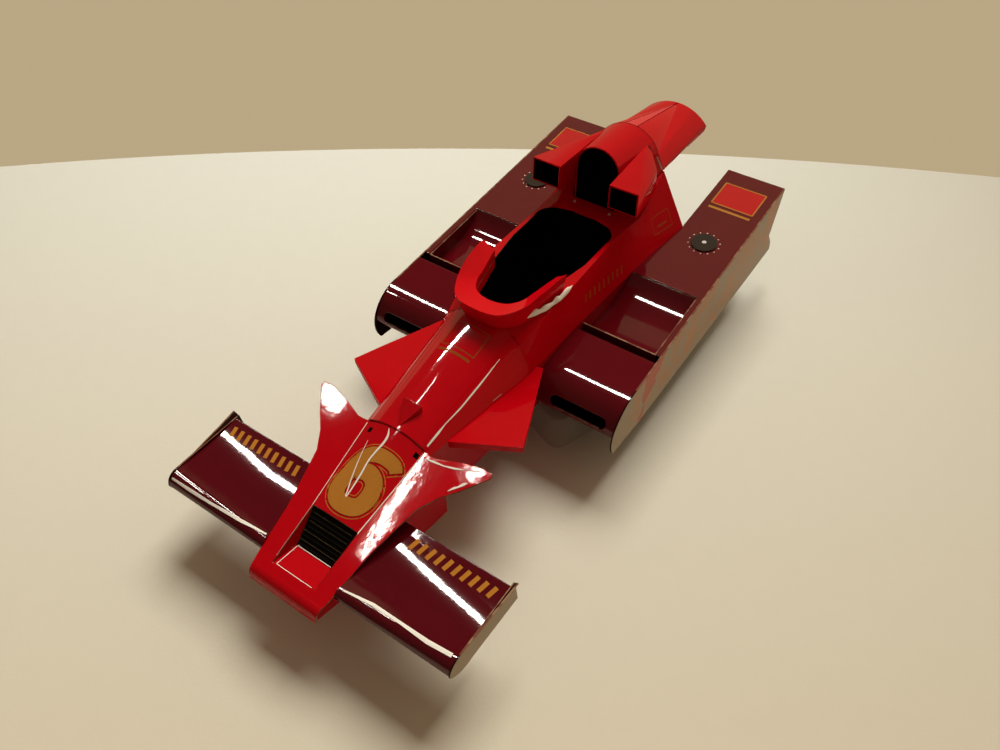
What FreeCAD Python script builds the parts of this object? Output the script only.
# Display model of a single-seat racing car body, folded from printed and varnished card.
# It has no wheels and no rear wing, and rests on a small clear box.
# Millimetres. x runs to the driver's left, y back from the nose tip and z up from the skirts' edge.
import FreeCAD
import Part
import os

os.makedirs("parts", exist_ok=True)
V = FreeCAD.Vector

# ---- driving dimensions ---------------------------------------------------------------
CARD = 0.3              # thickness of the card
BODY_START = 31.1       # joint between nose and cowl
COWL_END = 57.5         # joint between cowl and cockpit surround
SURROUND_END = 96.0     # joint between cockpit surround and rear body
BODY_END = 112.0        # open rear end of the body
TUB_FLOOR = 1.6         # underside of the chassis tub

DECK_START_Z = 6.17     # nose deck height carried forward to the tip
DECK_SLOPE = 0.287      # rise of the nose deck per mm
NOSE_LOW = 4.0          # height of the nose tip's lower edge
NOSE_BOX_FRONT_HALF = 7.1
NOSE_BOX_REAR_HALF = 10.2
NOSE_BOX_LOW = 0.4      # lower edge of the nose box at its rear
NOSE_BOX_KNEE = 25.0    # where the nose box's underside levels out

RECESS_START = 3.3      # cooler recess in the nose deck
RECESS_LOW = 8.05
RECESS_END = 14.2
RECESS_DEPTH = 2.0
RECESS_FRONT_HALF = 4.7
RECESS_LOW_HALF = 3.95
HUMP_FRONT_HALF = 5.05
HUMP_REAR_HALF = 6.3
HUMP_FRONT_RISE = 0.25  # crown of the hump behind the grille, above the nose deck
HUMP_REAR_RISE = 1.8

WING_HALF_SPAN = 31.1
WING_FRONT = 4.1
WING_CHORD = 16.7
WING_Z = 6.9

POD_OUTER = 29.0        # outer face of the side skirts
POD_FRONT = 58.3
POD_NOSE_END = 73.9     # rear edge of the rolled pod front
CHUTE_START = 76.0
CHUTE_END = 94.0
CHUTE_DEPTH = 4.0
POD_END = 136.0
POD_DECK_Z = 13.6       # pod deck height at POD_NOSE_END
POD_DECK_SLOPE = 0.0774
POD_INNER = 15.1        # inner edge of the pod behind the body
RIM = 1.0               # deck strip left outside the chute
SKIRT_TAIL = 136.8

STAND_SIDE = 32.0
STAND_HEIGHT = 8.5
STAND_WALL = 1.0
STAND_CORNER = 2.5
STAND_TURN = -21.0      # degrees about z
STAND_X = 7.0
STAND_Y = 79.8

FAR = 60.0              # reach of cutting solids
ARC_STRIPS = 14         # flat strips in the arc across a crown
OPEN_DROP = 1.0         # how far a hollow reaches past an open lower edge

DECK_END_Z = DECK_START_Z + DECK_SLOPE * BODY_START
HUMP_END_Z = DECK_END_Z + HUMP_REAR_RISE

# Upper body sections: y, lower x, lower z, shoulder x, shoulder z, crown z
BODY_SECTIONS = [
    (BODY_START, 7.1, DECK_END_Z - 0.9, 6.0, DECK_END_Z + 0.5, HUMP_END_Z + 0.1),
    (56.0, 10.6, 14.4, 8.0, 19.6, 23.6),
    (64.0, 11.0, 14.4, 9.3, 22.8, 25.0),
    (72.0, 11.2, 14.4, 9.8, 24.0, 25.3),
    (90.0, 12.3, 14.8, 9.3, 24.3, 24.7),
    (100.0, 13.3, 15.6, 10.0, 24.2, 24.5),
    (BODY_END, 15.3, 16.7, 8.9, 28.6, 28.8),
]
# Chassis tub half widths at its floor, one for each body section
TUB_HALF = [8.0, 9.6, 10.4, 10.6, 10.9, 11.0, 11.2]


# ---- helpers --------------------------------------------------------------------------
def nose_deck_z(y):
    return DECK_START_Z + DECK_SLOPE * y


def pod_deck_z(y):
    return POD_DECK_Z + POD_DECK_SLOPE * (y - POD_NOSE_END)


def arc(a, b, c):
    return Part.Arc(V(*a), V(*b), V(*c)).toShape()


def arc_points(a, b, c, strips=ARC_STRIPS):
    """Ends of the flat strips that a card bent round the arc through a, b and c is made of."""
    return arc(a, b, c).discretize(strips + 1)


def line(a, b):
    return Part.makeLine(V(*a), V(*b))


def face(points):
    """Flat face round its corners, given as vectors."""
    return Part.Face(Part.makePolygon(points + [points[0]]))


def plan_prism(points, low=-FAR, high=FAR):
    """Solid over a plan outline of (x, y) corners."""
    return face([V(x, y, low) for x, y in points]).extrude(V(0, 0, high - low))


def side_prism(points, x0=-FAR, x1=FAR):
    """Solid across the car from a side outline of (y, z) corners."""
    return face([V(x0, y, z) for y, z in points]).extrude(V(x1 - x0, 0, 0))


def side_edges(steps, x):
    """Edges of a side outline: (y, z) corners, with ("arc", mid, end) for a round stretch."""
    edges = []
    here = steps[0]
    for step in steps[1:]:
        if step[0] == "arc":
            mid, end = step[1], step[2]
            edges.append(arc((x, *here), (x, *mid), (x, *end)))
        else:
            end = step
            edges.append(line((x, *here), (x, *end)))
        here = end
    return edges


def side_solid(steps, x0, x1):
    """Closed side outline with round stretches, carried across from x0 to x1."""
    return Part.Face(Part.Wire(side_edges(steps, x0))).extrude(V(x1 - x0, 0, 0))


def strip(steps, x0, x1, offset):
    """Bent card strip along an open side outline, thickened by offset."""
    wire = Part.Wire(side_edges(steps, x0))
    return wire.makeOffset2D(offset, 0, True, True).extrude(V(x1 - x0, 0, 0))


def sheet(corners, push):
    return face(corners).extrude(push)


def skinned(sections):
    """Closed solid through like sections of as many points each, with flat folds between them.

    Points that coincide draw the folds together. The folds on both sides of the car are alike.
    """
    faces = []
    for one, two in zip(sections, sections[1:]):
        for n in range(len(one)):
            a, b = one[n - 1], one[n]
            c, d = two[n], two[n - 1]
            leans_left = a.x + b.x + c.x + d.x > 0
            halves = [(a, b, c), (a, c, d)] if leans_left else [(a, b, d), (b, c, d)]
            faces += [face(list(half)) for half in halves if is_open(half)]
    for section in (sections[0], sections[-1]):
        corners = [p for n, p in enumerate(section) if not p.isEqual(section[n - 1], 1e-6)]
        faces.append(face(corners))
    solid = Part.Solid(Part.makeShell(faces))
    solid.fix(1e-6, 1e-6, 1e-6)
    if solid.Volume < 0:
        solid.reverse()
    return solid


def is_open(triangle):
    a, b, c = triangle
    return (b - a).cross(c - a).Length > 1e-6


def mirrored(shape):
    return shape.mirror(V(0, 0, 0), V(1, 0, 0))


def flip(v):
    return V(-v.x, v.y, v.z)


def common(a, b):
    return a.common(b)


def slab(y0, y1):
    return Part.makeBox(2 * FAR, y1 - y0, 2 * FAR, V(-FAR, y0, -FAR))


# ---- body solids ----------------------------------------------------------------------
def body_section(row, inset):
    y, lower_x, lower_z, shoulder_x, shoulder_z, crown_z = row
    foot = lower_z - (OPEN_DROP if inset else 0.0)
    lower_x -= inset
    shoulder_x -= inset
    shoulder_z -= inset / 2
    crown = arc_points((shoulder_x, y, shoulder_z), (0, y, crown_z - inset), (-shoulder_x, y, shoulder_z))
    return [V(-lower_x, y, foot), V(lower_x, y, foot)] + crown


def tub_section(row, floor_half, inset):
    y, top_x, top_z = row[:3]
    top_x -= inset
    top_z += OPEN_DROP if inset else 0.0
    floor_half -= inset
    floor_z = TUB_FLOOR + inset
    return [V(-floor_half, y, floor_z), V(floor_half, y, floor_z), V(top_x, y, top_z), V(-top_x, y, top_z)]


def body(inset):
    return skinned([body_section(row, inset) for row in BODY_SECTIONS])


def tub(inset):
    return skinned([tub_section(row, half, inset) for row, half in zip(BODY_SECTIONS, TUB_HALF)])


body_outer = body(0)
body_inner = body(CARD)
tub_outer = tub(0)
tub_inner = tub(CARD)
body_mass = body_outer.fuse(tub_outer)

parts = {}


# ---- nose -----------------------------------------------------------------------------
# Deck outline, left half: x, y from the tip back round the swept horn to the cowl joint
DECK_EDGE = [
    (7.3, -1.0), (8.0, 3.6), (8.9, 11.6), (10.0, 17.0), (11.2, 22.2), (13.2, 25.5),
    (15.8, 28.4), (19.0, 32.5), (18.9, 33.3), (16.7, 33.4), (13.5, 32.6), (11.1, 31.8),
    (8.4, 30.8), (6.3, 31.1),
]
HORN_END = 36.0         # beyond the rear tips of the deck
TIP_LIP = 0.6           # upright lip at the nose tip
TIP_ROLL = 1.8          # where the round nose tip runs into the deck


def nose_roof(drop):
    """Side outline of the nose top, lowered inside by drop: the round tip, then the deck."""
    return [
        (drop, NOSE_LOW), (drop, NOSE_LOW + TIP_LIP),
        ("arc", (0.45 + 0.8 * drop, NOSE_LOW + 1.9 - 0.7 * drop),
         (TIP_ROLL + drop / 2, nose_deck_z(TIP_ROLL + drop / 2) - drop)),
        (HORN_END, nose_deck_z(HORN_END) - drop),
    ]


def above(roof):
    return side_solid(roof + [(HORN_END, FAR), (-FAR, FAR), (-FAR, NOSE_LOW), roof[0]], -FAR, FAR)


deck_plan = plan_prism(DECK_EDGE + [(-x, y) for x, y in reversed(DECK_EDGE)])
deck_skin = above(nose_roof(CARD)).cut(above(nose_roof(0)))
deck_opening = plan_prism([
    (RECESS_FRONT_HALF, RECESS_START), (HUMP_FRONT_HALF, RECESS_END), (HUMP_REAR_HALF, BODY_START),
    (HUMP_REAR_HALF, HORN_END), (-HUMP_REAR_HALF, HORN_END), (-HUMP_REAR_HALF, BODY_START),
    (-HUMP_FRONT_HALF, RECESS_END), (-RECESS_FRONT_HALF, RECESS_START),
])
parts["nose_deck"] = common(deck_plan, deck_skin).cut(deck_opening)


def nose_box_solid(inset):
    front, rear, end = NOSE_BOX_FRONT_HALF - inset, NOSE_BOX_REAR_HALF - inset, BODY_START - inset
    plan = plan_prism([(front, 0), (rear, end), (-rear, end), (-front, 0)])
    side = side_prism([
        (0, NOSE_LOW + inset), (NOSE_BOX_KNEE, NOSE_BOX_LOW + inset), (BODY_START, NOSE_BOX_LOW + inset),
        (BODY_START, FAR), (0, FAR),
    ])
    return common(plan, side)


nose_box_outer = nose_box_solid(0).cut(above(nose_roof(CARD)))
parts["nose_box"] = nose_box_outer.cut(nose_box_solid(CARD))


def under_deck(x, y):
    return V(x, y, nose_deck_z(y) - CARD)


# Cooler recess: a ramp down, cheeks at its sides and the slatted grille up to the hump
recess_front = under_deck(RECESS_FRONT_HALF, RECESS_START)
recess_low = V(RECESS_LOW_HALF, RECESS_LOW, nose_deck_z(RECESS_LOW) - RECESS_DEPTH)
recess_rear = under_deck(HUMP_FRONT_HALF, RECESS_END)
side_step = V(CARD, 0, 0)
down_step = V(0, 0, -CARD)
ramp = sheet([recess_front + side_step, recess_low + side_step,
              flip(recess_low + side_step), flip(recess_front + side_step)], down_step)
cheek = sheet([recess_front, recess_low, recess_rear], side_step).cut(ramp)
parts["cooler_duct"] = ramp.fuse(cheek).fuse(mirrored(cheek))

SLATS = 9
SLAT = 0.22             # height and breadth of a slat
SLAT_END_GAP = 0.1
grille_base = sheet([recess_low, recess_rear, flip(recess_rear), flip(recess_low)], down_step)
slats = []
for n in range(SLATS):
    middle = recess_low + (recess_rear - recess_low) * ((n + 0.5) / SLATS)
    half = middle.x - SLAT_END_GAP
    sunk = V(-half, middle.y, middle.z - CARD / 3)
    slats.append(Part.makeBox(2 * half, SLAT, SLAT + CARD / 3, sunk))
parts["cooler_grille"] = grille_base.cut(parts["cooler_duct"]).multiFuse(slats).cut(parts["cooler_duct"])


def hump_section(y, half, rise):
    top = nose_deck_z(y)
    low = top - CARD
    crown = arc_points((-half, y, top), (0, y, top + rise), (half, y, top))
    return crown + arc_points((half, y, low), (0, y, low + rise), (-half, y, low))


parts["nose_hump"] = skinned([
    hump_section(RECESS_END, HUMP_FRONT_HALF, HUMP_FRONT_RISE),
    hump_section(BODY_START, HUMP_REAR_HALF, HUMP_REAR_RISE),
])


# ---- front wings ----------------------------------------------------------------------
# Wing tops, root and tip: crest chord, crest rise, roll mid chord, roll mid rise, hollow rise
WING_ROOT_TOP = (0.11, 1.2, 0.025, 0.8, 1.35)
WING_TIP_TOP = (0.16, 2.15, 0.04, 1.4, 1.85)
WING_HOLLOW = 0.56      # chord of the lowest stretch behind the roll
WING_TAIL_RISE = 2.4    # trailing edge above the leading edge
WING_TAIL_CARD = 0.25
WING_STRIPS = 6         # flat strips in each round stretch of a wing
PLATE_LIP = 0.8         # how far the endplate's upper rear corner leans out
PLATE_TIP_RISE = 3.2


def wing_point(chord, rise):
    return (WING_FRONT + chord * WING_CHORD, WING_Z + rise)


def wing_section(x, top):
    """Section of the wing: rolled leading edge, hollow top and thin trailing edge."""
    crest_chord, crest_rise, roll_chord, roll_rise, hollow_rise = top
    front = (x, *wing_point(0, 0))
    crest = (x, *wing_point(crest_chord, crest_rise))
    tail = (x, *wing_point(1.0, WING_TAIL_RISE))
    tail_low = (x, *wing_point(1.0, WING_TAIL_RISE - WING_TAIL_CARD))
    low = (x, *wing_point(0.15, -0.4))
    roll = arc_points(front, (x, *wing_point(roll_chord, roll_rise)), crest, WING_STRIPS)
    hollow = arc_points(crest, (x, *wing_point(WING_HOLLOW, hollow_rise)), tail, WING_STRIPS)
    under = arc_points(tail_low, (x, *wing_point(WING_HOLLOW, 0.5)), low, WING_STRIPS)
    lip = arc_points(low, (x, *wing_point(0.05, -0.5)), front, WING_STRIPS)
    return roll + hollow[1:] + under + lip[1:-1]


nose_mass = common(deck_plan, above(nose_roof(CARD))).fuse(nose_box_outer)
wing = skinned([
    wing_section(NOSE_BOX_FRONT_HALF - 2.0, WING_ROOT_TOP),
    wing_section(WING_HALF_SPAN, WING_TIP_TOP),
]).cut(nose_mass)
plate_front = V(WING_HALF_SPAN, *wing_point(0.3, 2.1))
plate_rear = V(WING_HALF_SPAN, *wing_point(1.05, 2.2))
plate_tip = V(WING_HALF_SPAN + PLATE_LIP, *wing_point(1.04, PLATE_TIP_RISE))
plate = side_solid([
    wing_point(0, -0.4),
    ("arc", wing_point(0.04, 1.5), wing_point(0.17, 2.3)),
    wing_point(1.05, 2.45),
    wing_point(1.1, -3.6),
    wing_point(0.35, -3.0),
    ("arc", wing_point(0.1, -2.2), wing_point(0, -0.4)),
], WING_HALF_SPAN, WING_HALF_SPAN + CARD)
endplate = plate.fuse(sheet([plate_front, plate_rear, plate_tip], side_step))
parts["front_wing_left"] = wing
parts["front_wing_right"] = mirrored(wing)
parts["wing_endplate_left"] = endplate
parts["wing_endplate_right"] = mirrored(endplate)


# ---- chassis tub and upper body -------------------------------------------------------
parts["chassis_tub"] = tub_outer.cut(common(tub_inner, slab(BODY_START + CARD, BODY_END - CARD)))

# Cockpit opening, left edge in plan: x, y from its front corner to its rear one
OPENING_SIDE = [(5.1, 62.8), (7.2, 71.8), (8.5, 80.0), (8.6, 88.5)]
OPENING_FRONT = 59.5
OPENING_REAR = 93.8
OPENING_CORNER = [(8.6, 88.5), (8.1, 91.4), (6.2, 93.0)]
OPENING_LOW = 18.0


def opening_edges():
    z = OPENING_LOW
    (x0, y0), (x1, y1) = OPENING_SIDE[0], OPENING_CORNER[-1]
    edges = [
        arc((-x0, y0, z), (0, OPENING_FRONT, z), (x0, y0, z)),
        arc((x1, y1, z), (0, OPENING_REAR, z), (-x1, y1, z)),
    ]
    for side in (1, -1):
        points = [(side * x, y, z) for x, y in OPENING_SIDE]
        edges += [line(a, b) for a, b in zip(points, points[1:])]
        edges.append(arc(*[(side * x, y, z) for x, y in OPENING_CORNER]))
    return edges


opening = Part.Face(Part.Wire(Part.__sortEdges__(opening_edges()))).extrude(V(0, 0, FAR))
body_shell = body_outer.cut(body_inner).cut(opening)
parts["cockpit_cowl"] = common(body_shell, slab(BODY_START, COWL_END))
parts["cockpit_surround"] = common(body_shell, slab(COWL_END, SURROUND_END))
parts["rear_body"] = common(body_shell, slab(SURROUND_END, BODY_END))

inside = common(body_inner.fuse(tub_inner), body_mass).cut(body_shell).cut(parts["chassis_tub"])
parts["dash_bulkhead"] = common(inside, slab(COWL_END, COWL_END + CARD)).cut(opening)
parts["seat_bulkhead"] = common(inside, slab(SURROUND_END - CARD, SURROUND_END))
parts["engine_bulkhead"] = common(inside, slab(BODY_END - CARD, BODY_END))

# Raised collar round the front of the cockpit: inner edge x, y, z, then ridge x, y, z
COLLAR = [
    (0.0, 59.5, 25.5, 0.0, 54.7, 26.9),
    (3.2, 60.3, 25.5, 4.6, 55.6, 26.9),
    (5.1, 62.8, 25.4, 7.4, 59.6, 27.0),
    (5.9, 66.2, 25.5, 8.6, 64.0, 27.8),
    (7.2, 71.8, 25.9, 9.6, 71.2, 28.0),
]
COLLAR_FOOT = 4.2       # foot of the collar below its inner edge
COLLAR_FOOT_SHARE = 0.62


def collar_section(row, side):
    ix, iy, iz, rx, ry, rz = row
    inner = V(side * ix, iy, iz)
    ridge = V(side * rx, ry, rz)
    foot = inner + (ridge - inner) * COLLAR_FOOT_SHARE
    low = iz - COLLAR_FOOT
    return [inner, ridge, V(foot.x, foot.y, low), V(inner.x, inner.y, low)]


collar_left = [collar_section(row, 1) for row in COLLAR[1:]]
collar_right = [collar_section(row, -1) for row in reversed(COLLAR)]
parts["cockpit_collar"] = skinned(collar_right + collar_left).cut(body_mass).cut(opening)

# Low wedge on the middle of the cowl, behind the nose joint
WEDGE_TIP = BODY_START + 0.2
WEDGE_END = 36.1
WEDGE_HALF = 2.1
WEDGE_END_Z = 19.6
WEDGE_LOW = 12.0        # inside the body, which trims the wedge
wedge = common(
    plan_prism([(0.0, WEDGE_TIP), (WEDGE_HALF, WEDGE_END), (-WEDGE_HALF, WEDGE_END)]),
    side_prism([(WEDGE_TIP, HUMP_END_Z), (WEDGE_END, WEDGE_END_Z),
                (WEDGE_END, WEDGE_LOW), (WEDGE_TIP, WEDGE_LOW)]),
)
parts["cowl_wedge"] = wedge.cut(body_mass)

# Swept fairings over the front suspension: plan corners x, y
FAIRING = [(4.0, 33.6), (19.4, 41.9), (17.2, 47.5), (14.6, 53.7), (12.0, 60.0), (4.0, 60.0)]
FAIRING_TOP = 14.3
FAIRING_FRONT_DEPTH = 1.8
fairing = common(
    plan_prism(FAIRING),
    side_prism([(33.0, FAIRING_TOP), (61.0, FAIRING_TOP),
                (61.0, FAIRING_TOP - CARD), (33.0, FAIRING_TOP - FAIRING_FRONT_DEPTH)]),
).cut(body_mass)


# ---- side pods ------------------------------------------------------------------------
pod_in = POD_OUTER - CARD
SIDE_START = 8.0        # well inside the body, which trims what starts there
POD_PLAN_START = 50.0
POD_PLAN_END = 145.0
TUCK = 2.6              # how far the pods' cards reach under the body's lower edge

tucked = [(row[1] - TUCK, row[0]) for row in BODY_SECTIONS[1:]]
pod_plan = plan_prism(tucked + [
    (POD_INNER, BODY_END), (POD_INNER, POD_PLAN_END),
    (pod_in, POD_PLAN_END), (pod_in, POD_PLAN_START), (SIDE_START, POD_PLAN_START),
])

pod_lip = (POD_FRONT + 1.2, 6.0)    # lower edge of the rolled pod front: y, z
pod_brow = (66.0, POD_DECK_Z - 0.55)
pod_nose_side = [
    (POD_NOSE_END, POD_DECK_Z), pod_brow,
    ("arc", (60.5, 11.0), (POD_FRONT, 7.6)),
    ("arc", (POD_FRONT + 0.2, 6.5), pod_lip),
]
SLOT_X = (14.6, 26.8)   # intake slot in the pod front
SLOT_Z = (7.5, 9.7)
slot_r = (SLOT_Z[1] - SLOT_Z[0]) / 2
slot_mid = (SLOT_Z[1] + SLOT_Z[0]) / 2
slot_reach = (50.0, 62.0)   # from ahead of the pod front to behind its card
slot = Part.makeBox(SLOT_X[1] - SLOT_X[0] - 2 * slot_r, slot_reach[1] - slot_reach[0], 2 * slot_r,
                    V(SLOT_X[0] + slot_r, slot_reach[0], SLOT_Z[0]))
for x in (SLOT_X[0] + slot_r, SLOT_X[1] - slot_r):
    end = Part.makeCylinder(slot_r, slot_reach[1] - slot_reach[0], V(x, slot_reach[0], slot_mid), V(0, 1, 0))
    slot = slot.fuse(end)
pod_nose = strip(pod_nose_side, SIDE_START, pod_in, -CARD).cut(body_mass).cut(slot)

# Chute behind the radiator: a black slot, then a ramp that climbs back to the deck
chute_low = pod_deck_z(CHUTE_START) - CHUTE_DEPTH
chute_knee = (CHUTE_START + CHUTE_END) / 2 - 1.0
ramp_side = [
    (CHUTE_START, chute_low), (chute_knee, chute_low + 0.3),
    ("arc", (chute_knee + 6.0, chute_low + 1.9), (CHUTE_END, pod_deck_z(CHUTE_END) - CARD)),
]
chute_out = pod_in - RIM
pod_ramp = strip(ramp_side, SIDE_START, chute_out, -CARD)
chute_wall = side_solid(ramp_side + [(CHUTE_START, pod_deck_z(CHUTE_START) - CARD), ramp_side[0]],
                        chute_out - CARD, chute_out)
chute_front = Part.makeBox(chute_out - SIDE_START, CARD, CHUTE_DEPTH - CARD,
                           V(SIDE_START, CHUTE_START, chute_low))
pod_ramp = pod_ramp.fuse(chute_wall).fuse(chute_front.cut(chute_wall)).cut(body_mass)

deck_top = side_prism([
    (CHUTE_START, pod_deck_z(CHUTE_START)), (POD_END, pod_deck_z(POD_END)),
    (POD_END, pod_deck_z(POD_END) - CARD), (CHUTE_START, pod_deck_z(CHUTE_START) - CARD),
])
chute_plan = plan_prism([(0, 0), (chute_out, 0), (chute_out, CHUTE_END), (0, CHUTE_END)])
pod_deck = common(deck_top, pod_plan).cut(chute_plan).cut(body_mass)

# Curved floor of the pod, rising from its throat to the tail
FLOOR_THROAT = (84.0, 3.3)
FLOOR_END = (133.9, 8.6)
floor_side = [pod_lip, ("arc", FLOOR_THROAT, FLOOR_END)]
pod_floor = common(strip(floor_side, SIDE_START, pod_in, CARD), pod_plan).cut(body_mass)

tail_top = pod_deck_z(POD_END) - CARD
tail_low_in = (FLOOR_END[0] - CARD, FLOOR_END[1])
pod_tail = side_prism([(POD_END, tail_top), FLOOR_END, tail_low_in, (POD_END - CARD, tail_top)],
                      POD_INNER, pod_in).cut(pod_floor).cut(pod_deck)
under_floor = side_solid(floor_side + [(POD_END, -FAR), (POD_FRONT, -FAR), floor_side[0]], 0, FAR)
inner_wall_start = BODY_END - 3.0
inner_wall = side_prism([
    (inner_wall_start, pod_deck_z(inner_wall_start) - CARD), (POD_END - CARD, tail_top),
    tail_low_in, (tail_low_in[0], 0), (inner_wall_start, 0),
], POD_INNER, POD_INNER + CARD)
for neighbour in (under_floor, pod_floor, pod_tail, pod_deck, body_mass):
    inner_wall = inner_wall.cut(neighbour)

skirt = side_solid([
    (59.0, 1.6),
    ("arc", (57.8, 4.6), (POD_FRONT, 8.4)),
    ("arc", (60.7, 11.3), pod_brow),
    (POD_NOSE_END, POD_DECK_Z),
    (POD_END, pod_deck_z(POD_END)),
    (133.2, 6.8), (136.0, 3.3), (SKIRT_TAIL, 0.6),
    (70.0, 0.6), (59.0, 1.6),
], pod_in, POD_OUTER)
skirt_strip = side_prism([(70.0, 0.0), (SKIRT_TAIL, 0.0), (136.2, 2.4), (70.0, 2.4)], pod_in - CARD, pod_in)

CAP_X = 21.5            # filler cap
CAP_Y = 109.7
CAP_RADIUS = 2.8
cap_near = CAP_Y - 2 * CAP_RADIUS
cap_far = CAP_Y + 2 * CAP_RADIUS
cap_layer = side_prism([
    (cap_near, pod_deck_z(cap_near)), (cap_far, pod_deck_z(cap_far)),
    (cap_far, pod_deck_z(cap_far) + CARD), (cap_near, pod_deck_z(cap_near) + CARD),
])
cap = common(Part.makeCylinder(CAP_RADIUS, FAR, V(CAP_X, CAP_Y, 0)), cap_layer)

CORE_Y = 63.0           # radiator core behind the intake slot
CORE_HEIGHT = 3.4
core = Part.makeBox(pod_in - SIDE_START, CARD, CORE_HEIGHT, V(SIDE_START, CORE_Y, slot_mid - CORE_HEIGHT / 2))
core = core.cut(body_mass)

for name, shape in [
    ("front_fairing", fairing), ("pod_nose", pod_nose), ("pod_ramp", pod_ramp), ("pod_deck", pod_deck),
    ("pod_floor", pod_floor), ("pod_tail", pod_tail), ("pod_inner_wall", inner_wall),
    ("pod_skirt", skirt), ("skirt_strip", skirt_strip), ("filler_cap", cap),
    ("radiator_core", core),
]:
    parts[name + "_left"] = shape
    parts[name + "_right"] = mirrored(shape)


# ---- airbox and tail ------------------------------------------------------------------
# Arch sections: y, foot half width, foot z, spring half width, spring z, apex z
ARCH_FRONT = (98.5, 5.0, 24.2, 5.0, 33.0, 38.0)
ARCH_REAR = (BODY_END, 8.7, 28.9, 6.9, 32.6, 36.9)
TAIL_REAR = (POD_END, 7.4, 25.9, 7.7, 27.4, 30.9)
AIRBOX_BULKHEAD_Y = 108.0
TAIL_STRIPS = 16        # flat strips in the tail cover's rear edge
TAIL_SIDE_STRIPS = 4    # those on each side that belong to its side wall


def arch_section(row, inset, strips=ARC_STRIPS):
    """Arch on leaning side walls; the hollow's walls reach on past their open feet."""
    y, foot_half, foot_z, spring_half, spring_z, apex_z = row
    drop = OPEN_DROP if inset else 0.0
    spread = (foot_half - spring_half) / (spring_z - foot_z) * drop
    foot_x = foot_half + spread - inset
    spring_x = spring_half - inset
    crown = arc_points((spring_x, y, spring_z), (0, y, apex_z - inset), (-spring_x, y, spring_z), strips)
    return [V(-foot_x, y, foot_z - drop), V(foot_x, y, foot_z - drop)] + crown


def airbox_solid(inset):
    return skinned([arch_section(ARCH_FRONT, inset), arch_section(ARCH_REAR, inset)])


def tail_cover_solid(inset):
    """Three folded faces a side: a cone from the ridge's end to the airbox, one from the airbox's
    spring to the rear edge, and a side wall below the crease between that spring and the rear edge."""
    foot, *arch = arch_section(ARCH_REAR, inset)[1:ARC_STRIPS // 2 + 3]
    corner, *edge = arch_section(TAIL_REAR, inset, TAIL_STRIPS)[1:TAIL_STRIPS // 2 + 3]
    spring, ridge = arch[0], edge[-1]
    side_points = TAIL_SIDE_STRIPS + 1
    wall = [foot + (spring - foot) * (n / side_points) for n in range(side_points)]
    front = wall + [spring] * (len(edge) - TAIL_SIDE_STRIPS) + arch[1:]
    rear = [corner] + edge + [ridge] * (len(arch) - 1)
    return skinned([half + [flip(v) for v in reversed(half[:-1])] for half in (front, rear)])


airbox_outer = airbox_solid(0)
airbox_room = airbox_solid(CARD)
parts["airbox"] = airbox_outer.cut(airbox_room).cut(body_mass)
bulkhead_slab = slab(AIRBOX_BULKHEAD_Y, AIRBOX_BULKHEAD_Y + CARD)
parts["airbox_bulkhead"] = common(common(airbox_room, airbox_outer), bulkhead_slab).cut(body_mass)
parts["tail_cover"] = tail_cover_solid(0).cut(tail_cover_solid(CARD))

# Air ducts beside the airbox, mouth and rear: corners x, z, inward push in x and in z
DUCT_MOUTH_Y = 93.0
DUCT_REAR_Y = 110.5
DUCT_MOUTH = [(5.7, 29.2, 1, 1), (12.3, 29.2, -1, 1), (12.2, 34.6, -1, -1), (5.7, 34.5, 1, -1)]
DUCT_REAR = [(4.5, 28.0, 1, 1), (9.3, 27.0, -1, 1), (8.8, 31.0, -1, -1), (5.0, 34.8, 1, -1)]
DUCT_CUT = [(5.0, 111.1), (19.4, 97.0)]     # slanting rear end in plan: x, y


def duct_solid(inset):
    return skinned([
        [V(x + dx * inset, y, z + dz * inset) for x, z, dx, dz in corners]
        for y, corners in ((DUCT_MOUTH_Y, DUCT_MOUTH), (DUCT_REAR_Y, DUCT_REAR))
    ])


duct_tail = plan_prism(DUCT_CUT + [(FAR, DUCT_CUT[1][1]), (FAR, FAR * 3), (DUCT_CUT[0][0], FAR * 3)])
duct = duct_solid(0).cut(duct_solid(CARD))
for neighbour in (duct_tail, airbox_outer, body_mass):
    duct = duct.cut(neighbour)
parts["airbox_duct_left"] = duct
parts["airbox_duct_right"] = mirrored(duct)


# ---- clear stand ----------------------------------------------------------------------
def rounded_block(side, height, corner):
    block = Part.makeBox(side, side, height, V(-side / 2, -side / 2, 0))
    uprights = [e for e in block.Edges if e.Vertexes[0].Z != e.Vertexes[1].Z]
    return block.makeFillet(corner, uprights)


stand = rounded_block(STAND_SIDE, STAND_HEIGHT, STAND_CORNER)
room = rounded_block(STAND_SIDE - 2 * STAND_WALL, STAND_HEIGHT - STAND_WALL, STAND_CORNER - STAND_WALL)
stand = stand.cut(room)
stand.rotate(V(0, 0, 0), V(0, 0, 1), STAND_TURN)
stand.translate(V(STAND_X, STAND_Y, TUB_FLOOR - STAND_HEIGHT))
parts["clear_stand"] = stand

# ---- export ---------------------------------------------------------------------------
shift = V(0, -SKIRT_TAIL / 2, STAND_HEIGHT - TUB_FLOOR)
for name, shape in parts.items():
    moved = shape.copy()
    moved.translate(shift)
    moved.exportStep("parts/" + name + ".step")
